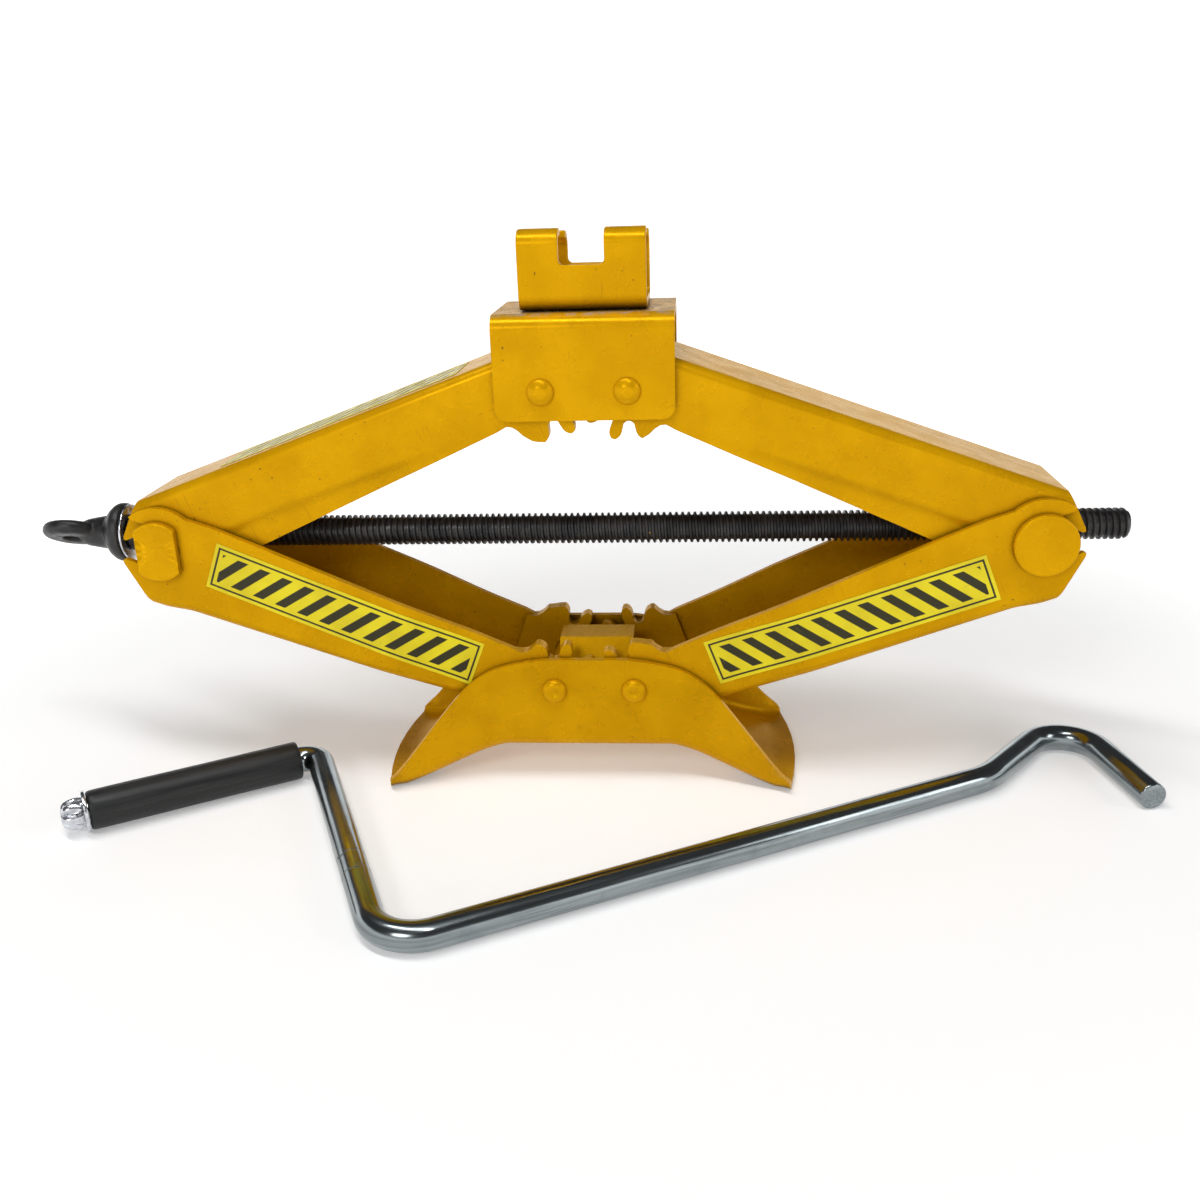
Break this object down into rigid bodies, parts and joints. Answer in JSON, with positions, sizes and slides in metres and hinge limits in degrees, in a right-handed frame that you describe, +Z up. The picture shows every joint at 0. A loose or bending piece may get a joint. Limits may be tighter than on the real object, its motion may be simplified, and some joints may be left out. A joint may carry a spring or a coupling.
{
  "type": "scissor jack with crank handle",
  "caption": "Folding scissor jack of painted U-channel arms with gear-toothed ends, a long black screw with an eye, a notched saddle and a loose cranked handle with a grip.",
  "frame": {"origin": "on the floor under the middle of the box that holds the jack and the handle lying in front of it", "axes": "+X along the jack's screw, away from its eye; +Z up; -Y towards the handle"},
  "size_m": [0.4616, 0.1898, 0.2228],
  "materials": {
    "yellow_paint": "semi-gloss amber yellow enamel over pressed steel, scuffed on the top faces",
    "label_film": "blank lemon yellow sticker film",
    "black_steel": "black phosphate, lightly oiled",
    "zinc_plate": "bright zinc plate with fine cracks at the bends",
    "black_plastic": "smooth black plastic sleeve"
  },
  "bodies": {
    "base": {"foot": "yellow_paint", "spacer_block": "yellow_paint", "foot_pin_left": "yellow_paint", "foot_pin_right": "yellow_paint"},
    "lower_left": {"lower_arm_left": "yellow_paint", "lower_gear_left_front": "yellow_paint", "lower_gear_left_back": "yellow_paint", "lower_label_left": "label_film"},
    "lower_right": {"lower_arm_right": "yellow_paint", "lower_gear_right_front": "yellow_paint", "lower_gear_right_back": "yellow_paint", "lower_label_right": "label_film"},
    "upper_left": {"upper_arm_left": "yellow_paint", "upper_gear_left_front": "yellow_paint", "upper_gear_left_back": "yellow_paint", "upper_label_left": "label_film"},
    "upper_right": {"upper_arm_right": "yellow_paint", "upper_gear_right_front": "yellow_paint", "upper_gear_right_back": "yellow_paint"},
    "bearing": {"bearing_trunnion": "yellow_paint"},
    "nut": {"nut_trunnion": "yellow_paint"},
    "screw_bar": {"screw": "black_steel", "screw_eye": "black_steel", "thrust_washer": "zinc_plate", "thrust_bearing": "black_steel"},
    "cap_block": {"cap": "yellow_paint", "cap_pin_left": "yellow_paint", "cap_pin_right": "yellow_paint", "saddle_rivet": "yellow_paint"},
    "saddle_head": {"saddle": "yellow_paint"},
    "handle": {"crank_rod": "zinc_plate", "grip_washer": "zinc_plate"},
    "handle_grip": {"grip": "black_plastic"}
  },
  "joints": [
    {"name": "fold", "type": "hinge", "parent": "base", "child": "lower_left", "pos_m": [-0.01079, 0.05581, 0.0415], "axis": [0, 1, 0], "range_deg": [-13.2, 25]},
    {"name": "lower_right_fold", "type": "hinge", "parent": "base", "child": "lower_right", "pos_m": [0.02201, 0.05581, 0.0415], "axis": [0, -1, 0], "range_deg": [-13.3, 25.1]},
    {"name": "upper_left_fold", "type": "hinge", "parent": "lower_left", "child": "upper_left", "pos_m": [-0.16928, 0.05581, 0.10298], "axis": [0, -1, 0], "range_deg": [-26.5, 50.1]},
    {"name": "upper_right_fold", "type": "hinge", "parent": "lower_right", "child": "upper_right", "pos_m": [0.1805, 0.05581, 0.10298], "axis": [0, 1, 0], "range_deg": [-26.5, 50.1]},
    {"name": "bearing_level", "type": "hinge", "parent": "lower_left", "child": "bearing", "pos_m": [-0.16928, 0.05581, 0.10298], "axis": [0, -1, 0], "range_deg": [-13.3, 25.1]},
    {"name": "nut_level", "type": "hinge", "parent": "lower_right", "child": "nut", "pos_m": [0.1805, 0.05581, 0.10298], "axis": [0, 1, 0], "range_deg": [-13.3, 25.1]},
    {"name": "cap_level", "type": "hinge", "parent": "upper_left", "child": "cap_block", "pos_m": [-0.01079, 0.05581, 0.16445], "axis": [0, 1, 0], "range_deg": [-13.3, 25.1]},
    {"name": "screw_spin", "type": "hinge", "parent": "bearing", "child": "screw_bar", "pos_m": [-0.16928, 0.05581, 0.10298], "axis": [1, 0, 0], "continuous": true},
    {"name": "saddle_swivel", "type": "hinge", "parent": "cap_block", "child": "saddle_head", "pos_m": [0.00561, 0.05581, 0.19325], "axis": [0, 0, 1], "continuous": true},
    {"name": "handle_slide", "type": "slide", "parent": "base", "child": "handle", "axis": [0, -1, 0], "range_m": [0, 0.1]},
    {"name": "grip_spin", "type": "hinge", "parent": "handle", "child": "handle_grip", "pos_m": [-0.20339, -0.02119, 0.0087], "axis": [0.848, 0.53, -0.0039], "continuous": true}
  ],
  "couplings": [
    {"joint": "lower_right_fold", "follows": "fold", "ratio": 1},
    {"joint": "upper_left_fold", "follows": "fold", "ratio": 2},
    {"joint": "upper_right_fold", "follows": "fold", "ratio": 2},
    {"joint": "bearing_level", "follows": "fold", "ratio": 1},
    {"joint": "nut_level", "follows": "fold", "ratio": 1},
    {"joint": "cap_level", "follows": "fold", "ratio": 1}
  ]
}
